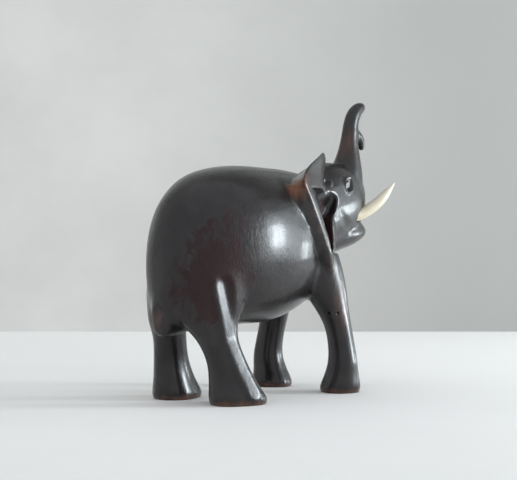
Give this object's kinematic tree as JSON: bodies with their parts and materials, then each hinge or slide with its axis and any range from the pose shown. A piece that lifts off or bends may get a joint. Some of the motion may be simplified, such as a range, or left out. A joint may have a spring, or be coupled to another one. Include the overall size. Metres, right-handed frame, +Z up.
{
  "type": "carved wooden elephant figurine",
  "caption": "Dark polished wooden elephant figurine, standing on splayed legs with its trunk raised, with cupped ears, pale upcurved tusks and pale inlaid eyes.",
  "frame": {"origin": "middle of the whole figurine's box in plan, on the surface that its four feet stand on", "axes": "+X the way the elephant faces, towards the trunk and tusks; +Y to the elephant's left, across its width; +Z up"},
  "size_m": [0.1476, 0.0602, 0.1383],
  "materials": {
    "dark_wood": "dark stained hardwood, hand polished, semi-gloss, with worn reddish-brown patches",
    "bone": "polished cream bone-like material, semi-gloss",
    "eye_inlay": "pale bone-like inlay, semi-gloss"
  },
  "bodies": {
    "root": {"carved_body": "dark_wood", "tusk_right": "bone", "tusk_left": "bone", "eye_inlay_right": "eye_inlay", "eye_inlay_left": "eye_inlay"}
  },
  "joints": []
}
